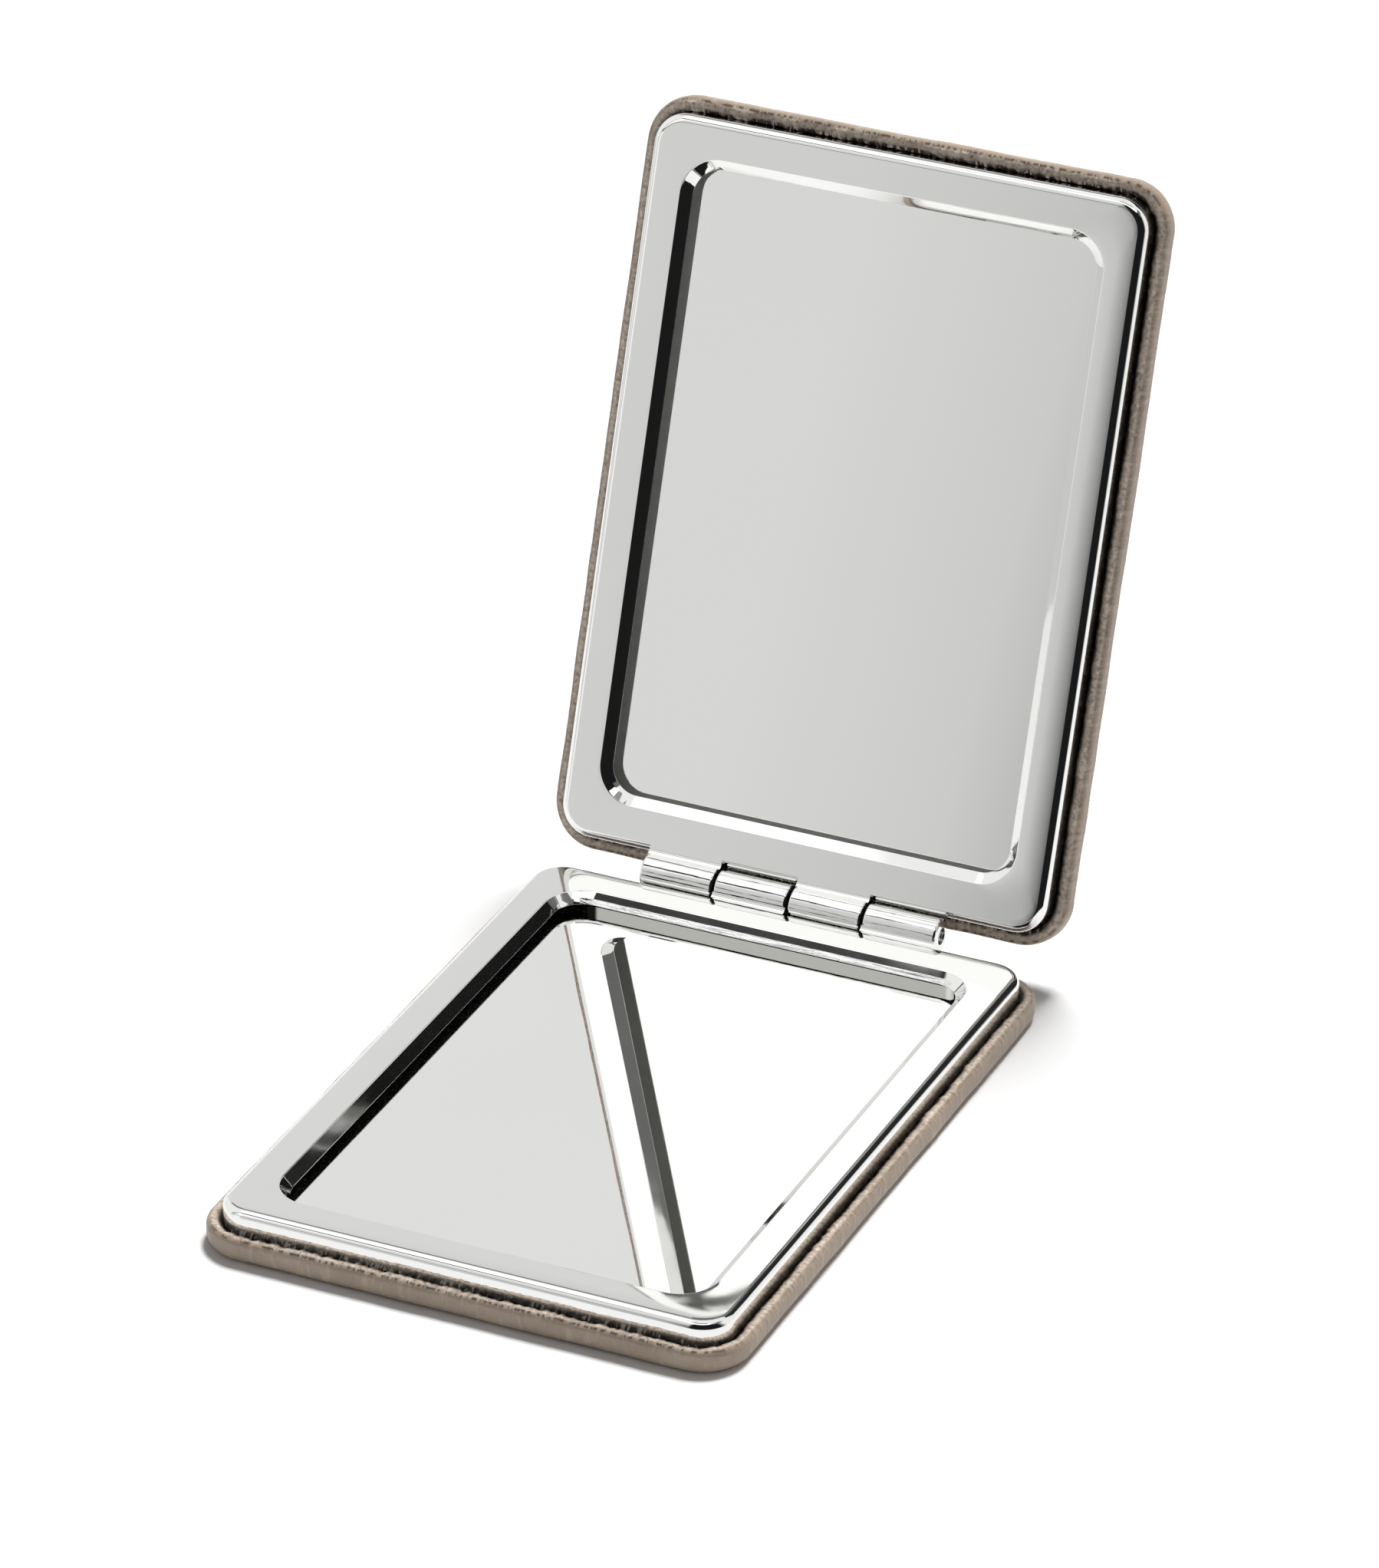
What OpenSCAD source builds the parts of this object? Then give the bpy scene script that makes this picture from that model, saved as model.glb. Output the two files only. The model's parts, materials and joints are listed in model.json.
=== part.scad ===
// Folding pocket mirror: two mirrors in plated metal frames, joined by a pinned
// four-knuckle hinge, each backed by a tray cover that is wrapped in soft sheet.
// Millimetres. The origin is the centre of the underside, +Z is up and the hinge
// runs along X on the +Y side. The lid is drawn open at its resting angle.

/* [Rim] */
// Width of the flat face of each frame
rim_w = 58; // [52:0.5:66]
// Length of the flat face of each frame, square to the hinge
rim_l = 82; // [74:0.5:96]
// Corner radius of the flat face
rim_corner_r = 2.8; // [1.8:0.1:4]
// Radius of the rounded outer edge of the frame
edge_r = 1; // [0.7:0.05:1.2]
// Height of the frame from its back to its flat face
frame_h = 3.7; // [3.5:0.05:4.5]

/* [Window] */
// Flat left between the window and each long side of the flat face
side_margin = 3.2; // [2.9:0.05:5]
// Flat left between the window and the hinge side of the flat face
hinge_margin = 3.6; // [3.2:0.1:5]
// Flat left between the window and the free side of the flat face
free_margin = 3.4; // [3.2:0.1:5]
// Corner radius of the window at the flat face
window_corner_r = 4.6; // [3:0.1:6]
// How far the window's wall slopes in, from the flat face to the glass
bevel_w = 1.25; // [0.6:0.05:1.5]
// Depth of the glass below the flat face
bevel_depth = 1.2; // [0.8:0.05:1.6]
// Radius that softens the window's upper edge
window_edge_r = 0.2; // [0.1:0.05:0.5]

/* [Mirror] */
// Thickness of the foam tape that fills the frame behind the glass
tape_t = 0.7; // [0.3:0.05:1]
// How far the glass reaches under the window's lip
mirror_overlap = 1.5; // [0.8:0.1:1.6]
// Clearance round the glass in its rebate
mirror_fit = 0.15; // [0.05:0.05:0.25]
// How far the mounting tape stops short of the glass edge
tape_inset = 2; // [0.5:0.5:10]

/* [Hinge] */
// Angle between the two halves as drawn
open_angle = 109; // [0:1:180]
// Gap between the two flat faces when the mirror is shut
close_gap = 0.2; // [0.1:0.05:0.4]
// Overall width of the four knuckles
hinge_w = 36.6; // [28:0.2:44]
// Radius of the knuckles
knuckle_r = 2.05; // [1.95:0.05:2.4]
// Clearance between a knuckle and the other half's frame
knuckle_clear = 0.24; // [0.2:0.02:0.5]
// Side play between neighbouring knuckles
knuckle_gap = 0.2; // [0.1:0.05:0.3]
// Radius on the end edges of each knuckle
knuckle_end_r = 0.2; // [0.1:0.05:0.3]
// Thickness of the web that carries a knuckle
web_t = 1.6; // [1.2:0.1:1.8]
// Radius of the hollow between a knuckle and the flat face
root_r = 0.6; // [0.3:0.05:0.7]
// Radius of the hinge pin
pin_r = 1; // [0.7:0.05:1.2]
// How far the pin's ends lie inside the outer knuckles
pin_recess = 0.3; // [0.1:0.05:0.6]
// Chamfer on the pin's ends
pin_chamfer = 0.15; // [0.05:0.05:0.3]
// Radial running clearance of the pin in the lid's knuckles
pin_fit = 0.04; // [0.02:0.01:0.08]
// Radial interference of the pin in the base's knuckles
pin_press = 0.01; // [0.005:0.005:0.02]

/* [Cover] */
// Height of the cover's rolled edge above the outer face
bead_h = 2.9; // [2.6:0.05:3.1]
// Radius from the crest of the rolled edge down to the tuck
crest_r = 0.95; // [0.7:0.05:1]
// Radius from the crest of the rolled edge out to the side
side_r = 0.8; // [0.7:0.05:1.1]
// Radius of the roll from the side to the outer face
roll_r = 1.1; // [0.8:0.05:1.3]
// Gap between the frame's wall and the tucked-in wrap
tuck_gap = 0.05; // [0.02:0.01:0.08]
// Thickness of the wrap
wrap_t = 0.5; // [0.4:0.05:0.55]
// Thickness of the padding sheet under the wrap
padding_t = 0.3; // [0.2:0.05:0.4]
// Thickness of the tray's floor
tray_floor_t = 0.7; // [0.5:0.05:0.9]
// Thickness of the adhesive sheet that holds the frame in the tray
bond_t = 0.1; // [0.05:0.05:0.2]
// How far the adhesive sheet stops short of the frame's wall
bond_inset = 1; // [0.5:0.5:3]

/* [Magnets] */
// Radius of the closing magnets
magnet_r = 1.5; // [1:0.1:1.6]
// Height of the closing magnets
magnet_h = 2; // [1.5:0.1:2.5]
// Clearance round a magnet in its pocket
magnet_fit = 0.05; // [0.02:0.01:0.1]

/* [Hidden] */
$fn = 96;
// Overrun of every cut past the face it opens
cut = 1;
diagonal_share = sqrt(0.5);
// How near an arc comes to just touching what it blends into. A hair under 1 makes
// the two cross, which leaves a clean edge.
blend_share = 0.998;

// Levels above the underside of a half
tray_z = wrap_t + padding_t;
bond_z = tray_z + tray_floor_t;
frame_z = bond_z + bond_t;
rim_z = frame_z + frame_h;
glass_z = rim_z - bevel_depth;
mirror_z = frame_z + tape_t;

// Window where it meets the glass, and the glass behind it
sight_w = rim_w - 2 * (side_margin + bevel_w);
sight_l = rim_l - hinge_margin - free_margin - 2 * bevel_w;
sight_corner_r = window_corner_r - bevel_w;
window_y = (free_margin - hinge_margin) / 2;
mirror_w = sight_w + 2 * mirror_overlap;
mirror_l = sight_l + 2 * mirror_overlap;
mirror_corner_r = sight_corner_r + mirror_overlap;
rebate_corner_r = mirror_corner_r + mirror_fit;

// Hinge axis, midway between the flat faces and clear of the rounded edges
axis_lift = close_gap / 2;
hinge_setback = sqrt(pow(knuckle_r + knuckle_clear + edge_r, 2) - pow(edge_r + axis_lift, 2));
hinge_y = rim_l / 2 + hinge_setback;
hinge_z = rim_z + axis_lift;
knuckle_count = 4;
knuckle_l = (hinge_w - (knuckle_count - 1) * knuckle_gap) / knuckle_count;
knuckle_step = knuckle_l + knuckle_gap;
pin_l = hinge_w - 2 * pin_recess;

// Arcs of the cover's rolled edge: distances out from the flat face
tuck_x = edge_r + tuck_gap;
crest_x = tuck_x + crest_r;
side_x = crest_x + side_r;
roll_x = side_x - roll_r;

// Magnets, on the diagonal of each free corner and midway between wall and rebate
wall_corner_r = rim_corner_r + edge_r;
wall_diagonal_x = rim_w / 2 + edge_r - wall_corner_r * (1 - diagonal_share);
wall_diagonal_y = rim_l / 2 + edge_r - wall_corner_r * (1 - diagonal_share);
rebate_diagonal_x = mirror_w / 2 + mirror_fit - rebate_corner_r * (1 - diagonal_share);
rebate_diagonal_y = mirror_l / 2 + mirror_fit - rebate_corner_r * (1 - diagonal_share) - window_y;
magnet_x = (wall_diagonal_x + rebate_diagonal_x) / 2;
magnet_y = -(wall_diagonal_y + rebate_diagonal_y) / 2;

// Colours
plated = [0.80, 0.81, 0.82];
silvered = [0.88, 0.90, 0.91];
steel = [0.62, 0.63, 0.65];
foam = [0.90, 0.89, 0.85];
adhesive = [0.86, 0.80, 0.62];
moulded = [0.16, 0.15, 0.14];
taupe = [0.54, 0.47, 0.41];

// Flat plate with rounded corners, standing on z = 0
module plate(w, l, r, h) {
    linear_extrude(h) {
        square([w - 2 * r, l], center = true);
        square([w, l - 2 * r], center = true);
        for (x = [-1, 1], y = [-1, 1])
            translate([x * (w / 2 - r), y * (l / 2 - r)]) circle(r);
    }
}

// Sweeps a section round a rounded rectangle. In the section, x is the distance
// out from the rectangle's line and y is the height.
module loop(w, l, r) {
    for (turn = [0, 180]) rotate(turn) {
        translate([w / 2, l / 2 - r]) rotate([90, 0, 0]) linear_extrude(l - 2 * r) children();
        translate([r - w / 2, l / 2]) rotate([90, 0, 90]) linear_extrude(w - 2 * r) children();
        translate([w / 2 - r, l / 2 - r])
            rotate_extrude(angle = 90) translate([r, 0]) children();
        translate([r - w / 2, l / 2 - r]) rotate(90)
            rotate_extrude(angle = 90) translate([r, 0]) children();
    }
}

// Section of a frame at its flat face's edge: a wall under a quarter round
module wall_section() {
    translate([-edge_r, 0]) square([2 * edge_r, frame_h - edge_r]);
    translate([-edge_r, 0]) square([edge_r, frame_h]);
    intersection() {
        translate([0, frame_h - edge_r]) circle(edge_r);
        square([edge_r, frame_h]);
    }
}

// Section that the window's sloping wall takes out of a frame, from the glass up.
// An arc leads from the slope into the flat face.
module bevel_section() {
    arc_z = bevel_depth - window_edge_r;
    arc_reach = sqrt(pow(bevel_w, 2) + pow(arc_z, 2));
    slope = atan2(arc_z, bevel_w) + asin(blend_share * window_edge_r / arc_reach);
    slope_l = sqrt(pow(arc_reach, 2) - pow(blend_share * window_edge_r, 2));
    difference() {
        polygon([
            [-bevel_w, 0], [0, 0], [slope_l * cos(slope), slope_l * sin(slope)],
            [bevel_w, bevel_depth], [bevel_w, bevel_depth + cut], [-bevel_w, bevel_depth + cut]
        ]);
        translate([bevel_w, arc_z]) circle(window_edge_r);
    }
}

// Half outline of a knuckle with its end edges rounded, for turning about its axis
module knuckle_section() {
    square([knuckle_r - knuckle_end_r, knuckle_l]);
    translate([0, knuckle_end_r]) square([knuckle_r, knuckle_l - 2 * knuckle_end_r]);
    for (y = [knuckle_end_r, knuckle_l - knuckle_end_r])
        translate([knuckle_r - knuckle_end_r, y])
            intersection() {
                circle(knuckle_end_r);
                translate([0, -knuckle_end_r]) square([knuckle_end_r, 2 * knuckle_end_r]);
            }
}

// Web from a knuckle to its frame, with a hollow where the knuckle leaves the flat
// face. x runs from the hinge axis to the frame, y is the height above the face.
module web_section() {
    root_x = sqrt(pow(blend_share * (knuckle_r + root_r), 2) - pow(root_r - axis_lift, 2));
    translate([0, -web_t]) square([hinge_setback, web_t]);
    difference() {
        polygon([[0, 0], [root_x, 0], [root_x, root_r], [0, axis_lift]]);
        translate([root_x, root_r]) circle(root_r);
    }
}

// One frame: a rounded plate with a sloping window, a rebate for the glass from
// behind, pockets for the magnets, and every other knuckle of the hinge.
module frame(first_knuckle, bore_r) {
    color(plated) difference() {
        union() {
            translate([0, 0, frame_z]) {
                plate(rim_w, rim_l, rim_corner_r, frame_h);
                loop(rim_w, rim_l, rim_corner_r) wall_section();
            }
            for (k = [first_knuckle : 2 : knuckle_count - 1])
                translate([k * knuckle_step - hinge_w / 2, hinge_y, 0]) {
                    translate([0, 0, rim_z]) mirror([0, 1, 0]) rotate([90, 0, 90])
                        linear_extrude(knuckle_l) web_section();
                    translate([0, 0, hinge_z]) rotate([0, 90, 0])
                        rotate_extrude() knuckle_section();
                }
        }
        translate([0, window_y, glass_z]) {
            translate([0, 0, -cut])
                plate(sight_w, sight_l, sight_corner_r, bevel_depth + 2 * cut);
            loop(sight_w, sight_l, sight_corner_r) bevel_section();
        }
        translate([0, window_y, frame_z - cut])
            plate(mirror_w + 2 * mirror_fit, mirror_l + 2 * mirror_fit, rebate_corner_r,
                glass_z - frame_z + cut);
        for (side = [-1, 1])
            translate([side * magnet_x, magnet_y, frame_z - cut])
                cylinder(r = magnet_r + magnet_fit, h = magnet_h + magnet_fit + cut);
        translate([-hinge_w / 2 - cut, hinge_y, hinge_z])
            rotate([0, 90, 0]) cylinder(r = bore_r, h = hinge_w + 2 * cut);
    }
}

// Glass of one mirror, silvered on its back
module glass() {
    color(silvered) translate([0, window_y, mirror_z])
        plate(mirror_w, mirror_l, mirror_corner_r, glass_z - mirror_z);
}

// Foam tape that holds the glass up against the frame's lip
module tape() {
    color(foam) translate([0, window_y, frame_z])
        plate(mirror_w - 2 * tape_inset, mirror_l - 2 * tape_inset, mirror_corner_r, tape_t);
}

// Closing magnet of one free corner, flush with the frame's back
module magnet(side) {
    color(steel) translate([side * magnet_x, magnet_y, frame_z])
        cylinder(r = magnet_r, h = magnet_h);
}

// Adhesive sheet between a frame and its tray
module bond_sheet() {
    inset = bond_inset - edge_r;
    color(adhesive) translate([0, 0, bond_z])
        plate(rim_w - 2 * inset, rim_l - 2 * inset, rim_corner_r, bond_t);
}

// Quarter of a circle
module quarter(r) {
    intersection() {
        circle(r);
        square(2 * r);
    }
}

// Section of the cover's edge, shrunk all round by skin: up the tuck, over the crest,
// down the side and round the roll to the outer face
module edge_section(skin) {
    inner_x = tuck_x + skin;
    translate([crest_x, bead_h - crest_r]) mirror([1, 0]) quarter(crest_r - skin);
    translate([crest_x, bead_h - side_r]) quarter(side_r - skin);
    translate([inner_x, roll_r]) square([crest_x - inner_x, bead_h - crest_r - roll_r]);
    translate([crest_x, roll_r]) square([side_x - skin - crest_x, bead_h - side_r - roll_r]);
    intersection() {
        union() {
            translate([0, skin]) square([roll_x, roll_r - skin]);
            translate([roll_x, roll_r]) mirror([0, 1]) quarter(roll_r - skin);
        }
        translate([inner_x, 0]) square([side_x, roll_r]);
    }
}

// The part of the cover's core between two heights, under the wrap
module core_layer(low_z, high_z) {
    translate([0, 0, low_z]) plate(rim_w, rim_l, rim_corner_r, high_z - low_z);
    loop(rim_w, rim_l, rim_corner_r) {
        translate([-edge_r, low_z]) square([edge_r + tuck_x + wrap_t, high_z - low_z]);
        intersection() {
            edge_section(wrap_t);
            translate([0, low_z]) square([side_x, high_z - low_z]);
        }
    }
}

// Moulded tray that the frame sits in: a floor with a rounded rim round it
module tray() {
    color(moulded) {
        core_layer(tray_z, bond_z);
        loop(rim_w, rim_l, rim_corner_r) intersection() {
            edge_section(wrap_t);
            translate([0, tray_z]) square([side_x, bead_h]);
        }
    }
}

// Thin padding on the outer face of the tray
module padding() {
    color(foam) core_layer(wrap_t, tray_z);
}

// Wrap: one sheet over the padding and the tray's rim, tucked in behind the frame
module wrap() {
    color(taupe) {
        plate(rim_w, rim_l, rim_corner_r, wrap_t);
        loop(rim_w, rim_l, rim_corner_r) {
            translate([-edge_r, 0]) square([edge_r + tuck_x + wrap_t, wrap_t]);
            difference() {
                edge_section(0);
                edge_section(wrap_t);
                translate([0, wrap_t]) square([tuck_x + wrap_t, bond_z - wrap_t]);
            }
        }
    }
}

// Pin through all four knuckles, with chamfered ends
module pin() {
    color(steel) translate([-pin_l / 2, hinge_y, hinge_z]) rotate([0, 90, 0]) {
        cylinder(r1 = pin_r - pin_chamfer, r2 = pin_r, h = pin_chamfer);
        translate([0, 0, pin_chamfer]) cylinder(r = pin_r, h = pin_l - 2 * pin_chamfer);
        translate([0, 0, pin_l - pin_chamfer])
            cylinder(r1 = pin_r, r2 = pin_r - pin_chamfer, h = pin_chamfer);
    }
}

// Turns a half that lies like the base into the lid at its resting angle
module as_lid() {
    translate([0, hinge_y, hinge_z]) rotate([-open_angle, 0, 0])
        mirror([0, 0, 1]) translate([0, -hinge_y, -hinge_z]) children();
}

frame(1, pin_r - pin_press);  // base_frame
glass();  // base_mirror
tape();  // base_mirror_tape
magnet(-1);  // base_magnet_left
magnet(1);  // base_magnet_right
bond_sheet();  // base_bond_sheet
tray();  // base_tray
padding();  // base_padding
wrap();  // base_wrap
as_lid() frame(0, pin_r + pin_fit);  // lid_frame
as_lid() glass();  // lid_mirror
as_lid() tape();  // lid_mirror_tape
as_lid() magnet(-1);  // lid_magnet_left
as_lid() magnet(1);  // lid_magnet_right
as_lid() bond_sheet();  // lid_bond_sheet
as_lid() tray();  // lid_tray
as_lid() padding();  // lid_padding
as_lid() wrap();  // lid_wrap
pin();  // hinge_pin
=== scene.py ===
# Folding pocket mirror, open at its resting angle: two plated frames with a mirror
# each, joined by a pinned hinge, and each set in a tray that is wrapped in
# leather-look sheet.
import json
import math
import bpy
import numpy as np
from mathutils import Matrix, Vector, noise


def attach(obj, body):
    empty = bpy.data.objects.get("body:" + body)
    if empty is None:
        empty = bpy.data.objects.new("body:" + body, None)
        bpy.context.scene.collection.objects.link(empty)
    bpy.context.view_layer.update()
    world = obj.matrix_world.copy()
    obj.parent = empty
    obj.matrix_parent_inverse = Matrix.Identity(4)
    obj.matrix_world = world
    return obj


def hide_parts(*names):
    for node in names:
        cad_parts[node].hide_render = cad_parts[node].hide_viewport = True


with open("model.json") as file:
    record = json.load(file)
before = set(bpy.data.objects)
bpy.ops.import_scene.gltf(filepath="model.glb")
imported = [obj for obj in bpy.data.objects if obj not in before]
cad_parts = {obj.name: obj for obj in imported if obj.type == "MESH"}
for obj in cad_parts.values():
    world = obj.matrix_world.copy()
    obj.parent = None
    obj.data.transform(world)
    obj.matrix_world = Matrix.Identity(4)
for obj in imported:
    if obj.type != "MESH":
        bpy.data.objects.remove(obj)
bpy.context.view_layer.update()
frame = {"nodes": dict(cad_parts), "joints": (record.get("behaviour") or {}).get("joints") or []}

# Plated frames. Each is one zinc casting, polished and chrome plated: a flat rim with a
# rounded outer edge, a sloping window wall and every other knuckle of the hinge. An
# adhesive sheet holds it in its tray.
mm = 0.001
# Everything is made lying flat with its mirror up, in millimetres, and the lid's parts
# are then turned over the hinge pin to the angle at which the lid rests.
hinge = frame["joints"][0]
pin_axis = Vector(hinge["pos_m"])
lid_turn = math.radians(hinge["range_deg"][0])
places = {
    "base": Matrix.Identity(4),
    "lid": (Matrix.Translation(pin_axis) @ Matrix.Rotation(lid_turn, 4, "X")
            @ Matrix.Diagonal((1, 1, -1, 1)) @ Matrix.Translation(-pin_axis)),
}

rim_w, rim_l, rim_corner = 58.0, 82.0, 2.8
edge_r, back_edge = 1.0, 0.15
frame_z, frame_h = 1.6, 3.7
rim_z = frame_z + frame_h
# the polished flat is crowned by a few hundredths, but runs level into the hinge
crown, crown_power, hinge_side_sharp, crown_steps = 0.018, 4, 1.4, 8
# the window, its sloping wall, and the lip that the glass stands against
side_margin, hinge_margin, free_margin, window_corner = 3.2, 3.6, 3.4, 4.6
bevel_w, window_edge_r, nose_r, slope_break_share = 1.25, 0.2, 0.07, 0.55
bevel_depths = {"base": 1.2, "lid": 1.1}
window_w = rim_w - 2 * side_margin
window_l = rim_l - hinge_margin - free_margin
window_y = (free_margin - hinge_margin) / 2
lip, glass_fit = 1.5, 0.15
glass_w = window_w - 2 * bevel_w + 2 * lip
glass_l = window_l - 2 * bevel_w + 2 * lip
glass_corner = window_corner - bevel_w + lip
# the hinge, its webs to the frames, and the pockets for the magnets
hinge_y, hinge_z = pin_axis.y / mm, pin_axis.z / mm
knuckle_r, knuckle_end_r, knuckle_gap, hinge_w = 2.05, 0.32, 0.2, 36.6
knuckle_l = (hinge_w - 3 * knuckle_gap) / 4
first_knuckle = {"base": 1, "lid": 0}
bore_r = {"base": 0.99, "lid": 1.04}
web_t, web_bite, root_r = 1.6, 0.4, 0.6
magnet_r, magnet_h, magnet_fit = 1.5, 2.0, 0.05
overrun = 1


def outline(width, length, corner, y=0.0, across=22, along=32, turn=16):
    """Points round a rounded rectangle and the way out from each. The count never
    changes with the size, so outlines can be joined one to the next."""
    points, ways = [], []
    for side in range(4):
        a = side * math.pi / 2
        out = np.array([math.cos(a), math.sin(a)])
        ahead = np.array([-math.sin(a), math.cos(a)])
        reach, run = (width / 2, length / 2) if side % 2 == 0 else (length / 2, width / 2)
        run -= corner
        count = along if side % 2 == 0 else across
        for t in np.arange(count) / count:
            points.append(out * reach + ahead * run * (2 * t - 1))
            ways.append(out)
        centre = out * (reach - corner) + ahead * run
        for t in np.arange(turn) / turn:
            b = a + t * math.pi / 2
            way = np.array([math.cos(b), math.sin(b)])
            points.append(centre + corner * way)
            ways.append(way)
    return np.array(points) + np.array([0.0, y]), np.array(ways)


def level(points, z):
    """An outline's points at one height."""
    return np.column_stack([points, np.full(len(points), z)])


def loft(rings, closed=False, inward=False):
    """One skin over rings of points that follow each other. Open ends get a face."""
    count = len(rings[0])
    points = np.vstack(rings)
    here = np.arange(count)
    ahead = np.roll(here, -1)
    steps = len(rings) if closed else len(rings) - 1
    faces = []
    for i in range(steps):
        low, high = i * count, (i + 1) % len(rings) * count
        faces += np.column_stack([low + here, low + ahead, high + ahead, high + here]).tolist()
    if not closed:
        faces += [here[::-1].tolist(), ((len(rings) - 1) * count + here).tolist()]
    if inward:
        faces = [face[::-1] for face in faces]
    return points, faces


def new_object(name, points, faces):
    """A mesh object from points in millimetres, smooth shaded."""
    mesh = bpy.data.meshes.new(name)
    mesh.from_pydata((np.asarray(points) * mm).tolist(), [], faces)
    mesh.shade_smooth()
    made = bpy.data.objects.new(name, mesh)
    bpy.context.scene.collection.objects.link(made)
    return made


def turned(start_x, outline_points, steps=72):
    """A part turned about the hinge pin's axis, from (x, radius) points."""
    rings = []
    for x, r in outline_points:
        a = np.arange(steps) / steps * 2 * math.pi
        rings.append(np.column_stack([np.full(steps, start_x + x),
                                      hinge_y + r * np.cos(a), hinge_z + r * np.sin(a)]))
    return loft(rings)


def upright(x, y, r, low, high, steps=48):
    """A round rod standing on end."""
    a = np.arange(steps) / steps * 2 * math.pi
    circle = np.column_stack([x + r * np.cos(a), y + r * np.sin(a)])
    return loft([level(circle, low), level(circle, high)])


def arc(cx, cy, r, start_deg, end_deg, steps):
    """Points along an arc, both ends among them."""
    angles = np.radians(np.linspace(start_deg, end_deg, steps + 1))
    return [(cx + r * math.cos(a), cy + r * math.sin(a)) for a in angles]


def web_outline():
    """Section of the web from a knuckle to its frame: (y, z) points, hollow on top."""
    setback = hinge_y - rim_l / 2
    lift = hinge_z - rim_z
    root_x = math.sqrt((knuckle_r + root_r) ** 2 - (root_r - lift) ** 2)
    touch = math.degrees(math.atan2(lift - root_r, -root_x)) % 360
    section = [(0, -web_t), (setback + web_bite, -web_t), (setback + web_bite, 0)]
    section += arc(root_x, root_r, root_r, 270, touch, 8)
    section += [(0, lift)]
    return [(hinge_y - x, rim_z + z) for x, z in section]


def frame_rings(bevel_depth):
    """The frame's ring: out at the back, up the wall, over the edge, across the flat,
    down the window's slope, under its lip and down the rebate."""
    rings = []
    edge, ways = outline(rim_w, rim_l, rim_corner)
    hinge_side = np.clip(ways[:, 1] * hinge_side_sharp, 0, 1)

    def outer(out, z):
        size = (rim_w + 2 * out, rim_l + 2 * out, rim_corner + out)
        ring = level(outline(*size)[0], frame_z + z)
        ring[:, 2] -= crown * (z / frame_h) ** crown_power * (1 - hinge_side)
        rings.append(ring)

    def window(inset, z):
        size = (window_w - 2 * inset, window_l - 2 * inset, window_corner - inset)
        rings.append(level(outline(*size, window_y)[0], frame_z + z))

    outer(edge_r - back_edge, 0)
    outer(edge_r, back_edge)
    for out, z in arc(0, frame_h - edge_r, edge_r, 0, 90, 16):
        outer(out, z)
    opening = outline(window_w, window_l, window_corner, window_y)[0]
    for share in np.linspace(0, 1, crown_steps + 1)[1:-1]:
        ring = level(edge * (1 - share) + opening * share, rim_z)
        ring[:, 2] -= crown * (2 * share - 1) ** 2 * (1 - hinge_side * (share < 0.5))
        rings.append(ring)
    reach, drop = bevel_w - nose_r, bevel_depth - window_edge_r - nose_r
    slope_deg = math.degrees(math.atan2(drop, reach)
                             + math.asin((window_edge_r - nose_r) / math.hypot(reach, drop)))
    edge_centre_z, nose_centre_z = frame_h - window_edge_r, frame_h - bevel_depth + nose_r
    edge_points = [(inset, z - crown) for inset, z in
                   arc(0, edge_centre_z, window_edge_r, 90, 90 - slope_deg, 6)]
    nose_points = arc(reach, nose_centre_z, nose_r, 90 - slope_deg, -90, 6)
    slope_break = tuple(a + slope_break_share * (b - a)
                        for a, b in zip(edge_points[-1], nose_points[0]))
    for inset, z in edge_points + [slope_break] + nose_points:
        window(inset, z)
    rebate = outline(glass_w + 2 * glass_fit, glass_l + 2 * glass_fit,
                     glass_corner + glass_fit, window_y)[0]
    rings.append(level(rebate, rim_z - bevel_depth))
    rings.append(level(rebate, frame_z))
    return rings


def magnet_place():
    """Where a magnet stands: on the corner's diagonal, between wall and rebate."""
    share = 1 - math.sqrt(0.5)
    wall_r, rebate_r = rim_corner + edge_r, glass_corner + glass_fit
    x = (rim_w / 2 + edge_r - wall_r * share + glass_w / 2 + glass_fit - rebate_r * share) / 2
    y = (rim_l / 2 + edge_r - wall_r * share
         + glass_l / 2 + glass_fit - rebate_r * share - window_y) / 2
    return x, -y


def combine(target, tool, way):
    """Joins a tool's solid to the target's, or cuts it out, and removes the tool."""
    change = target.modifiers.new(way, "BOOLEAN")
    change.operation, change.solver, change.object = way, "EXACT", tool
    bpy.context.view_layer.update()
    ready = target.evaluated_get(bpy.context.evaluated_depsgraph_get())
    result = bpy.data.meshes.new_from_object(ready)
    target.modifiers.clear()
    target.data = result
    bpy.data.objects.remove(tool)


def set_in_half(made, half):
    """Lays a part that was made flat into its half, and lets it ride with that half."""
    made.data.transform(places[half])
    if half == "lid":
        made.data.flip_normals()
    made.data.update()
    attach(made, half)


def crisp(made, angle_deg=30, flat_weight=80):
    """Keeps flat faces flat in reflections and marks the corners as sharp."""
    made.data.shade_smooth()
    made.data.set_sharp_from_angle(angle=math.radians(angle_deg))
    even = made.modifiers.new("even", "WEIGHTED_NORMAL")
    even.keep_sharp = True
    even.weight = flat_weight


def nodes_of(name, **settings):
    """A new material, its node tree and its shader. Sockets are set by name."""
    material = bpy.data.materials.new(name)
    material.use_nodes = True
    shader = material.node_tree.nodes["Principled BSDF"]
    for socket, value in settings.items():
        shader.inputs[socket.replace("_", " ")].default_value = value
    return material, material.node_tree, shader


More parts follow.
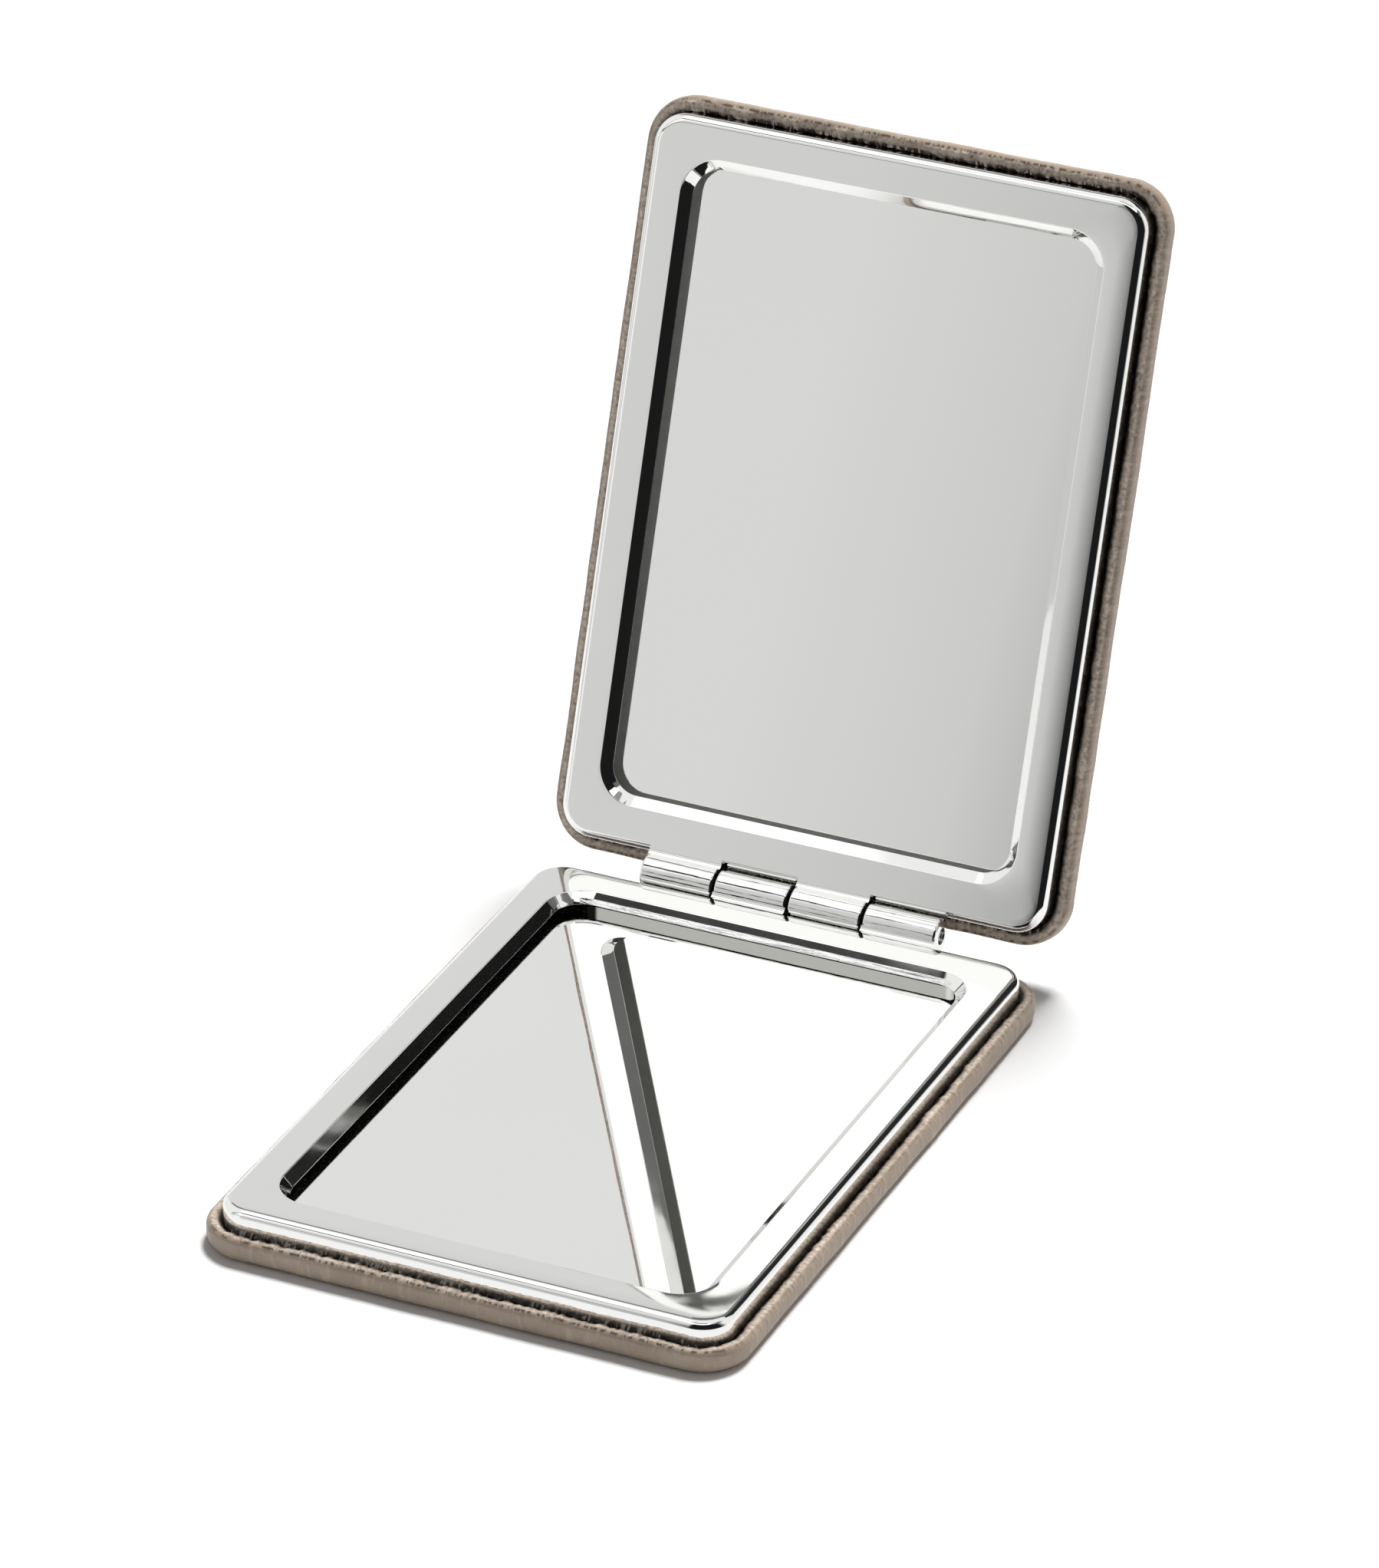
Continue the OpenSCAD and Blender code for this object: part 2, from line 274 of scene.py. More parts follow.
def add(tree, kind, feeds=(), **values):
    """A node with its properties and sockets set. feeds is a list of (socket, source)."""
    node = tree.nodes.new("ShaderNode" + kind)
    for key, value in values.items():
        if hasattr(node, key):
            setattr(node, key, value)
        else:
            node.inputs[key.replace("_", " ")].default_value = value
    for socket, source in feeds:
        tree.links.new(source, node.inputs[socket])
    return node


def noise_of(tree, where, scale, detail=2.0, **values):
    """The value of a cloudy noise over a place."""
    node = add(tree, "TexNoise", [("Vector", where)], Scale=scale, Detail=detail, **values)
    return node.outputs["Fac"]


def ramp(tree, source, stops):
    """A colour ramp over a value: stops are (position, grey or colour)."""
    node = tree.nodes.new("ShaderNodeValToRGB")
    bar = node.color_ramp.elements
    while len(bar) < len(stops):
        bar.new(0.5)
    for element, (position, colour) in zip(bar, stops):
        element.position = position
        colour = (colour,) * 3 if isinstance(colour, (int, float)) else colour
        element.color = (*colour, 1)
    tree.links.new(source, node.inputs["Fac"])
    return node.outputs["Color"]


def bump(tree, height, distance, strength=1.0, under=None):
    """A bump of so many metres, on top of another one if given."""
    node = add(tree, "Bump", [("Height", height)], Strength=strength, Distance=distance)
    if under is not None:
        tree.links.new(under, node.inputs["Normal"])
    return node.outputs["Normal"]


def chrome_finish(name, colour, line_depth=None, metallic=1.0):
    """Chrome plating over a polished casting: faint orange peel, smears and dust, and
    where a depth is given, lines along the hinge from polishing."""
    smear_share, line_stretch = 0.965, (0.06, 1.0, 1.0)
    material, tree, shader = nodes_of(name, Metallic=metallic)
    where = add(tree, "TexCoord").outputs["Object"]
    smears = noise_of(tree, where, 70.0, 4.0, Distortion=1.2)
    specks = add(tree, "TexVoronoi", [("Vector", where)], Scale=900.0)
    dust = ramp(tree, specks.outputs["Distance"], [(0.0, 1.0), (0.05, 0.0)])
    here_and_there = ramp(tree, noise_of(tree, where, 240.0), [(0.62, 0.0), (0.66, 1.0)])
    dusty = add(tree, "Mix", [("Factor", dust)], data_type="FLOAT")
    tree.links.new(here_and_there, dusty.inputs["B"])
    tone = add(tree, "Mix", [("Factor", smears)], data_type="RGBA")
    tone.inputs["A"].default_value = (*(c * smear_share for c in colour), 1)
    tone.inputs["B"].default_value = (*colour, 1)
    tree.links.new(tone.outputs["Result"], shader.inputs["Base Color"])
    polish = ramp(tree, smears, [(0.35, 0.03), (0.75, 0.075)])
    rough = add(tree, "Math", [(0, polish), (1, dusty.outputs["Result"])], operation="MAXIMUM")
    tree.links.new(rough.outputs["Value"], shader.inputs["Roughness"])
    relief = bump(tree, noise_of(tree, where, 110.0), 0.00002, 0.35)
    if line_depth:
        drawn = add(tree, "Mapping", [("Vector", where)], Scale=line_stretch).outputs["Vector"]
        relief = bump(tree, noise_of(tree, drawn, 2100.0, 3.0), line_depth, 0.9, relief)
    tree.links.new(relief, shader.inputs["Normal"])
    return material


def painted_shade_finish():
    """Painted shade: the casting shown dark, matt and grainy where shade falls, under the window's
    lip and on the knuckles' ends between knuckles.
    """
    material, tree, shader = nodes_of("painted_shade_casting", Metallic=0.6)
    where = add(tree, "TexCoord").outputs["Object"]
    grain = noise_of(tree, where, 2200.0, 5.0)
    tone = ramp(tree, grain, [(0.4, 0.012), (0.62, 0.05), (0.8, 0.35)])
    tree.links.new(tone, shader.inputs["Base Color"])
    tree.links.new(ramp(tree, grain, [(0.3, 0.45), (0.7, 0.8)]), shader.inputs["Roughness"])
    tree.links.new(bump(tree, grain, 0.0001), shader.inputs["Normal"])
    return material


bright_chrome = (0.84, 0.842, 0.826)
# the knuckles' chrome is a little dimmer than the frame's
dimmer_chrome, thin_chrome = (0.76, 0.762, 0.75), (0.72, 0.722, 0.71)
polishing_depth, ripple_depth = 0.00002, 0.0004
frame_finishes = [
    chrome_finish("plated_metal", bright_chrome),
    painted_shade_finish(),
    chrome_finish("rippled_plate", bright_chrome, ripple_depth),
    chrome_finish("plated_knuckle", dimmer_chrome, polishing_depth),
    chrome_finish("dull_plate", thin_chrome, metallic=0.15),
]
plated, painted_shade, rippled, knuckle_chrome, dull_plate = range(len(frame_finishes))
# how far a finish reaches past the glass, in from the window's back and corners, and
# up its wall
under_reach, back_depth, back_inset, ripple_share = 1, 4, 3, 0.55
knuckle_skin, lip_skin = 0.02, 0.005


def frame_finish(half, centre, normal, bevel_depth):
    """Which finish a face of the frame has, from its place while it still lies flat."""
    from_pin = math.hypot(centre.y - hinge_y, centre.z - hinge_z)
    if from_pin < knuckle_r + knuckle_skin:
        # the knuckles' ends between knuckles get the painted shade
        between_knuckles = abs(normal.x) > 0.6 and abs(centre.x) < hinge_w / 2 - 1
        return painted_shade if between_knuckles else knuckle_chrome
    lip_z = rim_z - bevel_depth
    under_lip = (abs(centre.x) < glass_w / 2 + under_reach
                 and abs(centre.y - window_y) < glass_l / 2 + under_reach
                 and centre.z < lip_z + lip_skin)
    if under_lip and half == "lid":
        return dull_plate
    window_back = window_y + window_l / 2
    if (half == "base" and centre.y > window_back - back_depth
            and abs(centre.x) < window_w / 2 - back_inset):
        low_wall = centre.y < window_back and lip_z < centre.z < rim_z - ripple_share * bevel_depth
        return rippled if low_wall else plated
    # faces under the base's lip get the painted shade
    return painted_shade if under_lip else plated


for half in ("base", "lid"):
    bevel_depth = bevel_depths[half]
    body = new_object(half + "_plated_frame", *loft(frame_rings(bevel_depth), closed=True))
    for k in (first_knuckle[half], first_knuckle[half] + 2):
        start = k * (knuckle_l + knuckle_gap) - hinge_w / 2
        barrel_r = knuckle_r - knuckle_end_r
        side = arc(knuckle_end_r, barrel_r, knuckle_end_r, 180, 90, 6)
        side += arc(knuckle_l - knuckle_end_r, barrel_r, knuckle_end_r, 90, 0, 6)
        web = [np.array([[x, y, z] for y, z in web_outline()])
               for x in (start, start + knuckle_l)]
        combine(body, new_object("web", *loft(web)), "UNION")
        combine(body, new_object("knuckle", *turned(start, side)), "UNION")
    bore = turned(-hinge_w / 2 - overrun,
                  [(0, bore_r[half]), (hinge_w + 2 * overrun, bore_r[half])], 48)
    combine(body, new_object("bore", *bore), "DIFFERENCE")
    x, y = magnet_place()
    for side in (-1, 1):
        pocket = upright(side * x, y, magnet_r + magnet_fit, frame_z - overrun,
                         frame_z + magnet_h + magnet_fit)
        combine(body, new_object("pocket", *pocket), "DIFFERENCE")
    for material in frame_finishes:
        body.data.materials.append(material)
    for face in body.data.polygons:
        face.material_index = frame_finish(half, face.center / mm, face.normal, bevel_depth)
    set_in_half(body, half)
    crisp(body)
    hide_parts(half + "_frame")

# Mirrors. Float glass, silvered on its back, held up against the frame's lip from
# behind. The reflecting face is as deep as it looks through the thickness of the glass.
silver_depth = {"base": 0.97, "lid": 1.28}
tape_t, back_arris, face_arris = 0.7, 0.2, 0.1


def silver_finish():
    """Silvering: almost a perfect mirror, with a faint haze."""
    material, tree, shader = nodes_of("mirror_glass", Metallic=1.0)
    where = add(tree, "TexCoord").outputs["Object"]
    haze = noise_of(tree, where, 24.0, 3.0)
    tone = ramp(tree, haze, [(0.3, (0.895, 0.897, 0.879)), (0.7, (0.905, 0.907, 0.89))])
    tree.links.new(tone, shader.inputs["Base Color"])
    tree.links.new(ramp(tree, haze, [(0.3, 0.008), (0.7, 0.016)]), shader.inputs["Roughness"])
    return material


silver = silver_finish()
for half in ("base", "lid"):
    back_z = frame_z + tape_t
    silver_z = rim_z - bevel_depths[half] - silver_depth[half]
    rings = []
    for inset, z in ((back_arris, back_z), (0, back_z + back_arris),
                     (0, silver_z - face_arris), (face_arris, silver_z)):
        size = (glass_w - 2 * inset, glass_l - 2 * inset, glass_corner - inset)
        rings.append(level(outline(*size, window_y)[0], z))
    pane = new_object(half + "_mirror_pane", *loft(rings))
    pane.data.materials.append(silver)
    set_in_half(pane, half)
    crisp(pane)
    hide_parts(half + "_mirror")

# Inside each half, out of sight: foam tape behind the glass, nickel-plated closing
# magnets in the free corners, the adhesive sheet that holds the frame, and the
# moulded tray that it sits in.


def speckled(name, dark, light, scale, rough, metallic=0.0, depth=0.00003):
    """A plain moulded, foamed or plated finish with grain in its colour and relief."""
    material, tree, shader = nodes_of(name, Metallic=metallic)
    where = add(tree, "TexCoord").outputs["Object"]
    grain = noise_of(tree, where, scale, 6.0)
    tree.links.new(ramp(tree, grain, [(0.3, dark), (0.7, light)]), shader.inputs["Base Color"])
    tree.links.new(ramp(tree, grain, [(0.3, rough), (0.7, rough + 0.1)]),
                   shader.inputs["Roughness"])
    tree.links.new(bump(tree, grain, depth), shader.inputs["Normal"])
    return material


def dress(node, material):
    """Gives a solid that is kept from the part its finish."""
    made = frame["nodes"][node]
    made.data.materials.clear()
    made.data.materials.append(material)


nickel = speckled("magnet_nickel", (0.55, 0.53, 0.49), (0.66, 0.64, 0.60), 900.0, 0.25, 1.0)
inner_finishes = {
    "mirror_tape": speckled("mounting_foam", (0.72, 0.71, 0.66), (0.84, 0.83, 0.78), 2500.0, 0.85),
    "magnet_left": nickel,
    "magnet_right": nickel,
    "bond_sheet": speckled("adhesive_film", (0.62, 0.52, 0.33), (0.72, 0.63, 0.44), 1200.0, 0.3),
    "tray": speckled("moulded_black", (0.012, 0.012, 0.012), (0.026, 0.025, 0.024), 3000.0, 0.5),
}
for half in ("base", "lid"):
    for part, material in inner_finishes.items():
        dress(f"{half}_{part}", material)

# Padding: a thin foam sheet on the outer face of each tray, which makes the cover
# feel soft. The wrap hides it, so it only needs its thickness and its bulging edge.
wrap_t = 0.5
# how far out the edge stands past the rim at each height above the sheet's underside
pad_edge = [(1.6, 0.03), (1.72, 0.08), (1.84, 0.15), (1.9, 0.22), (1.86, 0.27), (1.7, 0.3)]
foam = speckled("padding_foam", (0.66, 0.65, 0.60), (0.80, 0.79, 0.74), 1800.0, 0.9)
for half in ("base", "lid"):
    rings = []
    for out, height in pad_edge:
        size = (rim_w + 2 * out, rim_l + 2 * out, rim_corner + out)
        rings.append(level(outline(*size)[0], wrap_t + height))
    pad = new_object(half + "_foam_padding", *loft(rings))
    pad.data.materials.append(foam)
    set_in_half(pad, half)
    crisp(pad, 40)
    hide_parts(half + "_padding")

# Wraps: one piece of taupe leather-look sheet over each padded tray. It rolls round
# the tray's rim into a bead and is tucked down between the bead and the frame, where
# it gathers into small pleats and creases, with painted shade in the creases.
bead_h, side_x, crest_x = 2.9, 2.8, 2.0
crest_r, side_r, roll_r = 0.95, 0.8, 1.1
tuck_x, tuck_z, tuck_clear = 1.05, 1.5, 0.02
wrap_round = dict(across=280, along=400, turn=36)
# places along the wrap's section, counted in points from the tuck, and how soon the
# marks there fade out
pleats_end, pleats_fade = 11.5, 3
crease_end, crease_fade = 13.5, 6
ridge_first, ridge_last, ridge_fade = 9, 14.2, 1.8
notch_row, notch_fade = 17.0, 1.3
bead_fade = 4
# size and depth of each kind of unevenness, in millimetres
swell_size, swell_depth = 6.5, 0.09
wave_size, wave_depth = 2.6, 0.10
pleat_size, pleat_depth = 0.55, {"sheet": 0.02, "tuck": 0.16, "ridge": 0.11, "notch": 0.06}
rough_size, rough_depth = 0.42, {"sheet": 0.012, "tuck": 0.08, "ridge": 0.02}
# pleats run across the bead, so they change slowly along the section
pleat_stretch = 0.25


def wrap_path(skin):
    """Section of the wrap's face or of its inner side: (out, height) points."""
    path = [(tuck_x + skin, z) for z in np.linspace(tuck_z, bead_h - crest_r, 4)[:-1]]
    path += arc(crest_x, bead_h - crest_r, crest_r - skin, 180, 90, 10)[:-1]
    path += arc(crest_x, bead_h - side_r, side_r - skin, 90, 0, 10)
    path += [(side_x - skin, z) for z in np.linspace(bead_h - side_r, roll_r, 5)[1:-1]]
    path += arc(side_x - roll_r, roll_r, roll_r - skin, 0, -90, 10)
    return path


def flat_path(z):
    """The path on from the roll over the outer face towards its middle."""
    roll_x = side_x - roll_r
    return [(out, z) for out in (roll_x - 0.6, roll_x - 1.4, -1.0, -2.4, -5.0, -9.0, -14.0,
                                 -20.0, -25.0, -28.0)]


def wrap_outline(out):
    """The wrap's outline at a distance out from the frame's flat."""
    size = (rim_w + 2 * out, rim_l + 2 * out, max(rim_corner + out, 0.3))
    return outline(*size, **wrap_round)


def until(i, end, fade):
    """1 for the first points of the section, falling to 0 at its end."""
    return min(max((end - i) / fade, 0), 1)


def around(i, first, last, fade):
    """1 for the points from first to last, falling off softly on both sides."""
    return math.exp(-(max(first - i, 0, i - last) / fade) ** 2)


def wrap_shape(half):
    """The wrap as a closed thin skin, with gathered pleats, creases and a soft, wavy
    bead. Also how deep in a crease, how high on the ridge and how near the row of small
    notches each point lies, and its place along the edge and across the sheet."""
    seed = Vector((13.7, 5.1, 2.3)) if half == "base" else Vector((71.3, 44.9, 18.6))
    rings, marks = [], {"crease": [], "glint": [], "ridge": [], "notch": [], "fold": []}

    def mark(**values):
        for name, value in values.items():
            marks[name].append(value)

    for out, z in flat_path(wrap_t)[::-1] + wrap_path(wrap_t)[::-1]:
        flat = wrap_outline(out)[0]
        rings.append(level(flat, z))
        none = np.zeros(len(flat))
        mark(crease=none, glint=none, ridge=none, notch=none, fold=level(flat, 0.0))
    bead_points = len(wrap_path(0.0))
    whole = wrap_path(0.0) + flat_path(0.0)
    ahead = np.roll(np.array(whole), -1, axis=0) - np.roll(np.array(whole), 1, axis=0)
    ahead[0], ahead[-1] = (0, 1), (-1, 0)
    laps = np.cumsum([0.0] + [math.dist(a, b) for a, b in zip(whole, whole[1:])])
    edges, ways = wrap_outline(0.0)
    # the sheet is gathered at the ends and drawn tight along the sides
    gather = 0.3 + 0.7 * ways[:, 1] ** 2
    for i, (out, z) in enumerate(whole):
        flat = wrap_outline(out)[0]
        step = ahead[i] / np.hypot(*ahead[i])
        normal_out, normal_z = -step[1], step[0]
        on_face = float(i < bead_points)
        on_bead = min(1.0, max(0.0, 1 - (i - bead_points) / bead_fade))
        on_tuck = on_face * until(i, pleats_end, pleats_fade)
        on_ridge = on_face * around(i, ridge_first, ridge_last, ridge_fade)
        on_notch = on_face * around(i, notch_row, notch_row, notch_fade)
        deep = gather * on_tuck + (1 - gather) * on_face * until(i, crease_end, crease_fade)
        pleat_here = (pleat_depth["sheet"] + pleat_depth["tuck"] * on_tuck
                      + pleat_depth["ridge"] * on_ridge + pleat_depth["notch"] * on_notch)
        rough_here = (rough_depth["sheet"] + rough_depth["tuck"] * on_tuck
                      + rough_depth["ridge"] * on_ridge)
        wave_here = wave_depth * (0.3 + on_ridge + 0.4 * on_tuck)
        lap = laps[i] * pleat_stretch
        shift = np.zeros(len(flat))
        for j, ((x, y), edge) in enumerate(zip(flat, edges)):
            here, along = Vector((x, y, z)), Vector((*edge, lap))
            swell = noise.noise(here / swell_size + seed) * swell_depth
            waves = noise.noise(along / wave_size + seed * 2) * wave_here
            pleats = noise.noise(along / pleat_size + seed * 3) * gather[j] * pleat_here
            rough = noise.noise(here / rough_size + seed * 4) * rough_here
            shift[j] = (swell + waves + pleats + rough) * on_bead
        out_shift = normal_out * shift
        beside_frame = z > tuck_z - 0.1 and out < crest_x
        if beside_frame:
            out_shift = np.maximum(out_shift, edge_r + tuck_clear - out)
        moved = flat + ways * out_shift[:, None]
        rings.append(np.column_stack([moved, np.maximum(z + normal_z * shift, 0.0)]))
        # crease, glint, ridge and notch tell the leather's finish where to paint shade in the
        # crease, glints, a highlight on the ridge and shade in the notches
        mark(crease=np.clip(deep * (1.1 - shift * 3.0 * gather ** 2), 0, 1),
             glint=gather ** 3 * on_tuck,
             ridge=np.clip(on_ridge * (0.85 + shift * 3), 0, 1),
             notch=gather * on_notch,
             fold=level(edges, lap) if on_face else level(flat, 0.0))
    points, faces = loft(rings, inward=True)
    return points, faces, {name: np.concatenate(values) for name, values in marks.items()}


def leather_finish():
    """Leather-look sheet: taupe, with a fine grain and a few spots of reddish base colour,
    with painted shade and painted glints in the creases, and a painted highlight on the ridge with
    painted shade in its small hollows and notches."""
    # The light ridge tone is a painted highlight, the light glint tone painted glints, and the
    # dark tones for hollows, notches and the crease painted shade.
    dark_taupe, light_taupe = (0.340, 0.264, 0.200), (0.440, 0.352, 0.276)
    stretched, ridge_highlight, hollow = (0.60, 0.50, 0.41), (0.84, 0.72, 0.60), (0.20, 0.145, 0.105)
    base_colour, notch_shade = (0.20, 0.075, 0.045), (0.045, 0.030, 0.021)
    crease_shade, glint_paint = (0.026, 0.017, 0.011), (0.74, 0.65, 0.56)
    material, tree, shader = nodes_of("taupe_leather_look", Coat_Weight=0.1, Coat_Roughness=0.35)
    where = add(tree, "TexCoord").outputs["Object"]
    fold = add(tree, "Attribute", attribute_name="fold").outputs["Vector"]
    clouds = noise_of(tree, where, 180.0, 5.0)
    pebbles = add(tree, "TexVoronoi", [("Vector", where)], Scale=1900.0).outputs["Distance"]
    fine = noise_of(tree, where, 3600.0, 3.0)
    speckle = noise_of(tree, where, 2400.0, 4.0)
    pleats = noise_of(tree, fold, 2600.0, 3.0)
    wrinkles = noise_of(tree, fold, 1300.0, 4.0)

    def marked(name, pattern):
        mark = add(tree, "Attribute", attribute_name=name).outputs["Fac"]
        both = add(tree, "Math", [(0, mark), (1, pattern)], operation="MULTIPLY")
        return both.outputs["Value"]

    def tinted(under, share, colour):
        node = add(tree, "Mix", [("Factor", share), ("A", under)], data_type="RGBA")
        node.inputs["B"].default_value = (*colour, 1)
        return node.outputs["Result"]

    tone = ramp(tree, clouds, [(0.25, dark_taupe), (0.75, light_taupe)])
    tone = tinted(tone, ramp(tree, wrinkles, [(0.55, 0.0), (0.68, 0.35)]), stretched)
    # painted highlight along the ridge, in specks
    highlight_specks = ramp(tree, speckle, [(0.32, 0.15), (0.50, 0.60), (0.62, 1.0)])
    tone = tinted(tone, marked("ridge", highlight_specks), ridge_highlight)
    # painted shade in small hollows on the ridge
    hollow_shade_mask = ramp(tree, speckle, [(0.33, 0.5), (0.40, 0.0)])
    tone = tinted(tone, marked("ridge", hollow_shade_mask), hollow)
    spots = ramp(tree, noise_of(tree, where, 300.0, 5.0), [(0.63, 0.0), (0.70, 0.6)])
    tone = tinted(tone, marked("notch", spots), base_colour)
    # painted shade in the row of small notches
    notch_shade_mask = ramp(tree, pleats, [(0.46, 1.0), (0.52, 0.0)])
    tone = tinted(tone, marked("notch", notch_shade_mask), notch_shade)
    # painted shade in the crease
    crease = add(tree, "Attribute", attribute_name="crease").outputs["Fac"]
    tone = tinted(tone, crease, crease_shade)
    # painted glints in the crease
    glints = ramp(tree, pleats, [(0.54, 0.0), (0.60, 1.0)])
    tone = tinted(tone, marked("glint", glints), glint_paint)
    tree.links.new(tone, shader.inputs["Base Color"])
    tree.links.new(ramp(tree, clouds, [(0.3, 0.46), (0.7, 0.58)]), shader.inputs["Roughness"])
    grain = bump(tree, pebbles, 0.00009, 0.7)
    grain = bump(tree, wrinkles, 0.00028, 0.9, grain)
    tree.links.new(bump(tree, fine, 0.00005, 0.6, grain), shader.inputs["Normal"])
    return material


leather = leather_finish()
for half in ("base", "lid"):
    points, faces, marks = wrap_shape(half)
    wrap = new_object(half + "_leather_wrap", points, faces)
    for name in ("crease", "glint", "ridge", "notch"):
        wrap.data.attributes.new(name, "FLOAT", "POINT").data.foreach_set("value", marks[name])
    wrap.data.attributes.new("fold", "FLOAT_VECTOR", "POINT").data.foreach_set(
        "vector", (marks["fold"] * mm).ravel())
    wrap.data.materials.append(leather)
    set_in_half(wrap, half)
    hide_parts(half + "_wrap")

# Hinge pin: drawn steel rod with chamfered ends, pressed into the base's knuckles. Its
# right-hand end shows in the last knuckle.


def drawn_steel_finish():
    """Drawn steel: fine lines along the rod."""
    material, tree, shader = nodes_of("drawn_steel", Metallic=1.0)
    where = add(tree, "TexCoord").outputs["Object"]
    drawn = add(tree, "Mapping", [("Vector", where)], Scale=(0.05, 1.0, 1.0)).outputs["Vector"]
    lines = noise_of(tree, drawn, 4000.0, 3.0)
    tree.links.new(ramp(tree, lines, [(0.3, 0.42), (0.7, 0.58)]), shader.inputs["Base Color"])
    tree.links.new(ramp(tree, lines, [(0.3, 0.18), (0.7, 0.32)]), shader.inputs["Roughness"])
    return material


dress("hinge_pin", drawn_steel_finish())

# Camera at the photograph's viewing angle: some way off, with a long lens and a hair of
# roll.
eye, aim = Vector((0.36229, -0.78189, 0.51499)), Vector((-0.1222, 0.28471, -0.1270))
camera_roll = 0.00277
camera_data = bpy.data.cameras.new("camera")
camera_data.lens = 209.84
camera_data.sensor_width = 36.0
camera_data.sensor_fit = "AUTO"
camera_data.clip_end = 20.0
camera = bpy.data.objects.new("camera", camera_data)
bpy.context.scene.collection.objects.link(camera)
view_turn = (aim - eye).to_track_quat("-Z", "Y").to_matrix().to_4x4()
camera.matrix_world = Matrix.Translation(eye) @ view_turn @ Matrix.Rotation(camera_roll, 4, "Z")
bpy.context.scene.camera = camera

# Plain white table. It keeps the object's shadow, and further off the camera and the
# mirrors see it as plain white from any side.
table_reach, plain_from, plain_all = 4, 0.12, 0.45


def staged(name, points, faces, material):
    """A table or a card, in metres, that is no part of the object."""
    mesh = bpy.data.meshes.new(name)
    mesh.from_pydata(points, [], faces)
    mesh.materials.append(material)
    made = bpy.data.objects.new(name, mesh)
    bpy.context.scene.collection.objects.link(made)
    return made


def seen_by(tree, rays):
    """1 for the named kinds of ray and 0 for all others."""
    path = add(tree, "LightPath").outputs
    seen = path[rays[0]]
    for ray in rays[1:]:
        seen = add(tree, "Math", [(0, seen), (1, path[ray])], operation="MAXIMUM").outputs["Value"]
    return seen


def table_finish():
    """Matt white near the object, fading to an even white away from it."""
    material, tree, shader = nodes_of("table_white", Roughness=0.9, Specular_IOR_Level=0.0,
                                      Base_Color=(0.96, 0.96, 0.96, 1))
    even = add(tree, "Emission", Color=(1, 1, 1, 1), Strength=1.0)
    place = add(tree, "TexCoord").outputs["Object"]
    away = add(tree, "VectorMath", [(0, place)], operation="LENGTH").outputs["Value"]
    seen = seen_by(tree, ("Is Camera Ray", "Is Glossy Ray"))
    share = add(tree, "MapRange", [("Value", away), ("To Max", seen)],
                From_Min=plain_from, From_Max=plain_all, To_Min=0.0)
    mixed = add(tree, "MixShader", [(0, share.outputs["Result"]), (1, shader.outputs["BSDF"]),
                                    (2, even.outputs["Emission"])])
    tree.links.new(mixed.outputs["Shader"], tree.nodes["Material Output"].inputs["Surface"])
    return material


table_corners = [(x * table_reach, y * table_reach, 0)
                 for x, y in ((-1, -1), (1, -1), (1, 1), (-1, 1))]
staged("table", table_corners, [(0, 1, 2, 3)], table_finish())

# Soft studio light: a large lamp overhead for light and shadow, and cards that only
# the polished metal and the mirrors see.
lamp_data = bpy.data.lights.new("overhead", "AREA")
lamp_data.shape, lamp_data.size, lamp_data.size_y = "RECTANGLE", 0.5, 0.5
lamp_data.energy = 43.0
lamp = bpy.data.objects.new("overhead", lamp_data)
bpy.context.scene.collection.objects.link(lamp)
lamp.location = (-0.02, 0.94, 1.77)
lamp.rotation_euler = (Vector((0, 0, 0)) - lamp.location).to_track_quat("-Z", "Y").to_euler()
lamp.visible_glossy = False
lamp.visible_camera = False

card_centre_z, card_above_table = 0.03, 0.002


def card(name, azimuths, elevations, across, up=((0, 1), (1, 1)), reach=1.0):
    """A curved card that shows in reflections only, and lies on the table where it would
    go below it. azimuths run from the front round to the right, in degrees; across and up
    are (angle, brightness) and (angle, share)."""
    wide, high = 24, 12
    points, shares = [], []
    for j in range(high + 1):
        el = math.radians(elevations[0] + (elevations[1] - elevations[0]) * j / high)
        drop = card_centre_z - card_above_table
        r = min(reach, drop / math.sin(-el)) if el < 0 else reach
        for i in range(wide + 1):
            az = math.radians(azimuths[0] + (azimuths[1] - azimuths[0]) * i / wide)
            points.append((r * math.cos(el) * math.sin(az), -r * math.cos(el) * math.cos(az),
                           card_centre_z + r * math.sin(el)))
            shares.append((i / wide, j / high))
    row = wide + 1
    faces = [(j * row + i, j * row + i + 1, (j + 1) * row + i + 1, (j + 1) * row + i)
             for j in range(high) for i in range(wide)]
    material = bpy.data.materials.new(name)
    material.use_nodes = True
    tree = material.node_tree
    tree.nodes.clear()
    output = add(tree, "OutputMaterial")
    peak = max(bright for angle, bright in across) * max(share for angle, share in up)
    glow = add(tree, "Emission", Strength=peak)
    tree.links.new(glow.outputs["Emission"], output.inputs["Surface"])
    mixed = add(tree, "Mix", data_type="RGBA", blend_type="MULTIPLY")
    mixed.inputs["Factor"].default_value = 1.0
    for socket, label, (first, last), stops in (("A", "across", azimuths, across),
                                                ("B", "up", elevations, up)):
        place = add(tree, "Attribute", attribute_name=label).outputs["Fac"]
        most = max(value for angle, value in stops)
        tone = ramp(tree, place, [((angle - first) / (last - first), value / most)
                                  for angle, value in stops])
        tree.links.new(tone, mixed.inputs[socket])
    tree.links.new(mixed.outputs["Result"], glow.inputs["Color"])
    made = staged(name, points, faces, material)
    for label, values in zip(("across", "up"), zip(*shares)):
        made.data.attributes.new(label, "FLOAT", "POINT").data.foreach_set("value", values)
    made.visible_camera = made.visible_diffuse = made.visible_shadow = False


